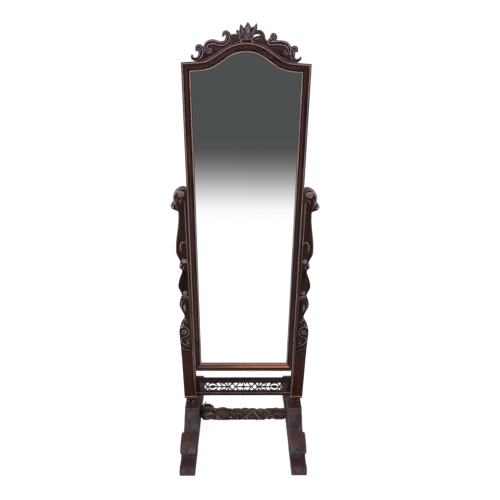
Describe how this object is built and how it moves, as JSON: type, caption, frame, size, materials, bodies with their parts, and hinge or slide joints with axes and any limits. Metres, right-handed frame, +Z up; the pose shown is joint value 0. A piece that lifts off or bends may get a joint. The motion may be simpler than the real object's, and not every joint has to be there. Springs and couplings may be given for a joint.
{
  "type": "cheval floor mirror",
  "caption": "Tall carved rosewood floor mirror that tilts between two scroll posts on cloud-scroll feet, with a pierced fret board and a carved stretcher.",
  "frame": {"origin": "middle of the floor footprint, on the floor", "axes": "+Z up; the glass faces -Y; +X is to the viewer's right when looking at the glass"},
  "size_m": [0.546, 0.562, 1.7166],
  "materials": {
    "frame_wood": "satin polished rosewood with reddish highlights",
    "carved_wood": "satin carved rosewood, darker in the hollows",
    "foot_wood": "worn satin rosewood with a greyish bloom",
    "peg_wood": "plain bamboo",
    "mirror_glass": "silvered plate glass",
    "back_board": "plain oiled boards",
    "steel_screw": "countersunk steel screws",
    "brass": "aged brass",
    "leather_washer": "waxed leather"
  },
  "bodies": {
    "stand": {"post_left": "carved_wood", "post_right": "carved_wood", "pivot_bush_left": "brass", "pivot_bush_right": "brass", "friction_washer_left": "leather_washer", "friction_washer_right": "leather_washer", "fret_top_rail": "frame_wood", "fret_panel": "carved_wood", "fret_bottom_rail": "frame_wood", "joint_pegs": "peg_wood", "stretcher": "carved_wood", "foot_left": "foot_wood", "foot_right": "foot_wood", "collar_left": "carved_wood", "collar_right": "carved_wood"},
    "mirror": {"frame_stile_left": "frame_wood", "frame_stile_right": "frame_wood", "frame_head_rail": "frame_wood", "frame_bottom_rail": "frame_wood", "crest_wing_left": "carved_wood", "crest_wing_right": "carved_wood", "crest_palmette": "carved_wood", "crest_dowels": "peg_wood", "mirror_glass": "mirror_glass", "back_board_lower": "back_board", "back_board_middle": "back_board", "back_board_upper": "back_board", "back_screws": "steel_screw", "pivot_plate_left": "brass", "pivot_plate_right": "brass", "pivot_pin_left": "brass", "pivot_pin_right": "brass", "plate_screws": "steel_screw"}
  },
  "joints": [
    {"name": "mirror_tilt", "type": "hinge", "parent": "stand", "child": "mirror", "pos_m": [0, 0, 1.168], "axis": [1, 0, 0], "range_deg": [-26, 34]}
  ]
}
